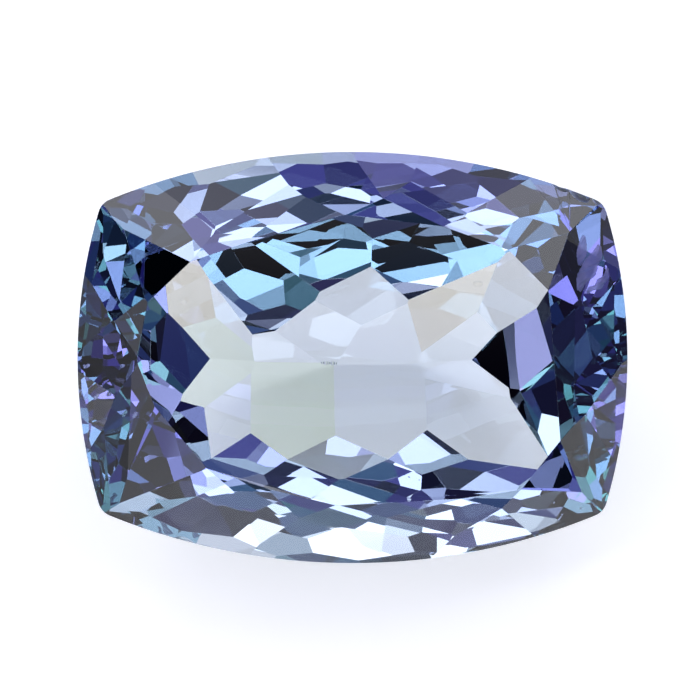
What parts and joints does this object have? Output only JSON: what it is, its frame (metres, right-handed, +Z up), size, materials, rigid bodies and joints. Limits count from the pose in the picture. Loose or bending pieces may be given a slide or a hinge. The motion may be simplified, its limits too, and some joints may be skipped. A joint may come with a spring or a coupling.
{
  "type": "cushion-cut tanzanite gemstone",
  "caption": "Loose faceted gemstone, clear blue violet, with a bowed cushion outline, a broad table and a keeled pavilion, lying on a pavilion facet.",
  "frame": {"origin": "middle of the ground that the stone covers, at the height of the facet it lies on", "axes": "+X along the stone's length, +Z up, with the table facing up and towards -Y"},
  "size_m": [0.0144, 0.0098, 0.0076],
  "materials": {
    "tanzanite": "polished clear crystal"
  },
  "bodies": {
    "root": {"stone": "tanzanite"}
  },
  "joints": []
}
